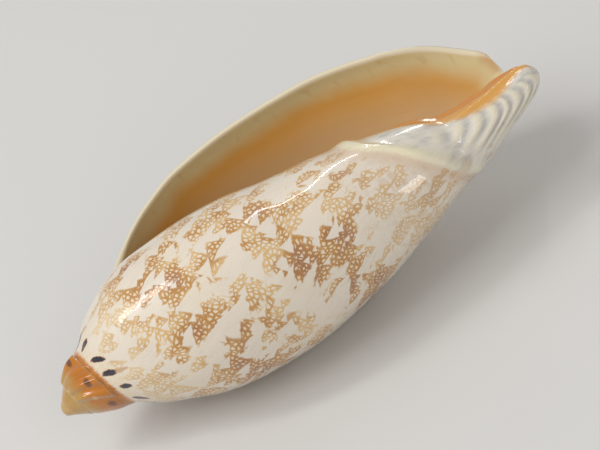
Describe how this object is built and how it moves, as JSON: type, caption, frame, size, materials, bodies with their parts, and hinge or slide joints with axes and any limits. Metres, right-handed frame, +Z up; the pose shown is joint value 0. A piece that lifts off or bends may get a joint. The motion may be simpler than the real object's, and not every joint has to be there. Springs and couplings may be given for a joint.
{
  "type": "volute seashell",
  "caption": "Long spindle-shaped sea snail shell with a low orange spire, a wide flared opening and a netted cream body, lying on its back.",
  "frame": {"origin": "centre of the bounding box on the ground, below the shell", "axes": "+Z up as the shell lies, +X from the apex towards the front tip, +Y towards the lip"},
  "size_m": [0.1092, 0.0452, 0.0358],
  "materials": {
    "shell": "glossy natural porcelain, cream with a fine ochre net"
  },
  "bodies": {
    "root": {"shell": "shell"}
  },
  "joints": []
}
